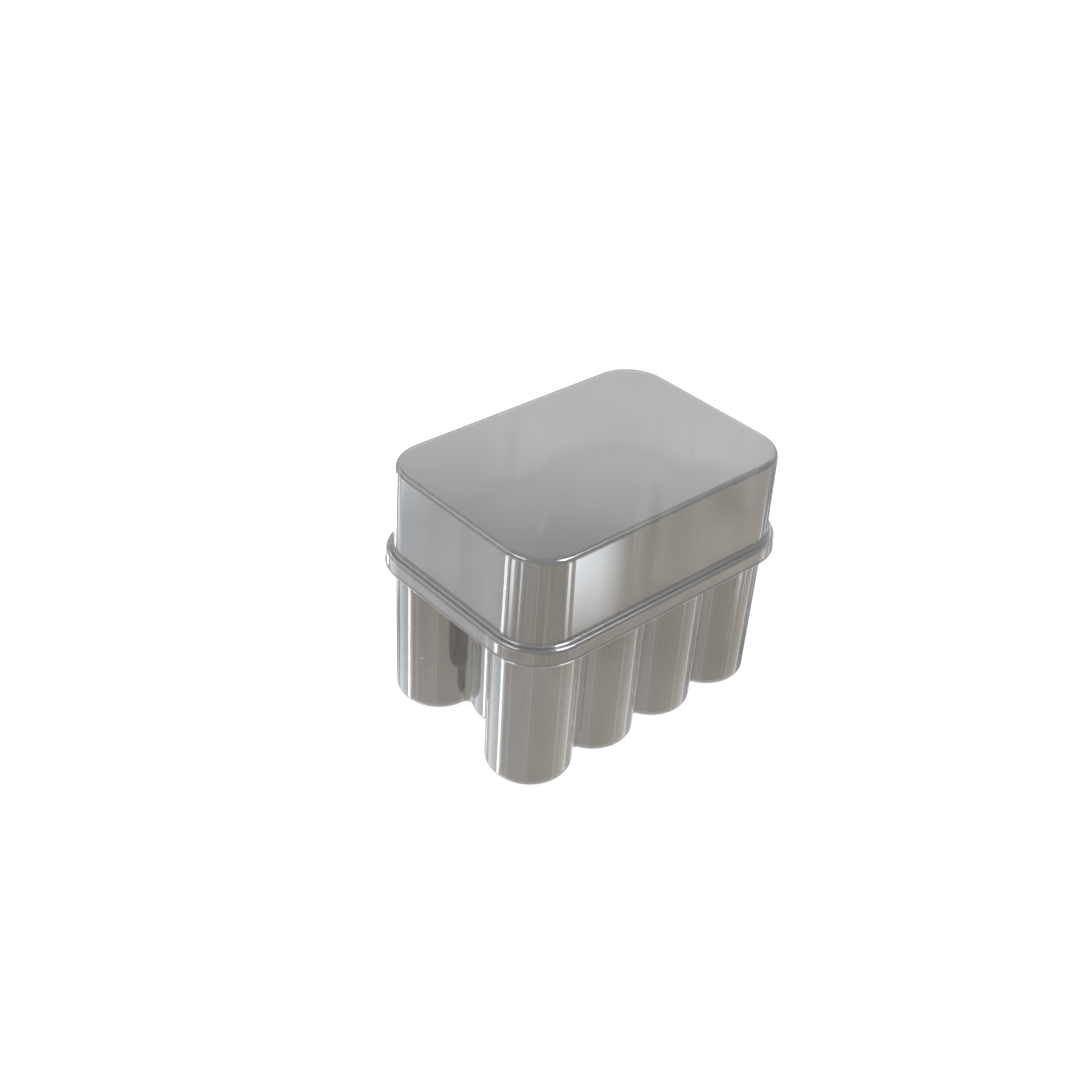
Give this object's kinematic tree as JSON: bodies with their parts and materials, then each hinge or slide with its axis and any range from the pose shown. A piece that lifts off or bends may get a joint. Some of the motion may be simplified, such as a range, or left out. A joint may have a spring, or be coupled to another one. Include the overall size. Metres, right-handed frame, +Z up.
{
  "type": "vial storage container",
  "caption": "Clear formed tray whose scalloped pockets hold small vials round a hollow star pillar, with a deep lift-off lid that slips over its flange.",
  "frame": {"origin": "on the table, under the middle of the tray", "axes": "+X along the long side, +Y along the short side, +Z up out of the pockets and along the lid's lift"},
  "size_m": [0.0672, 0.0476, 0.0506],
  "materials": {
    "tray_sheet": "clear glossy sheet",
    "lid_sheet": "clear glossy sheet"
  },
  "bodies": {
    "tray": {"tray": "tray_sheet"},
    "lid": {"lid": "lid_sheet"}
  },
  "joints": [
    {"name": "lid_lift", "type": "slide", "parent": "tray", "child": "lid", "axis": [0, 0, 1], "range_m": [0, 0.038]}
  ]
}
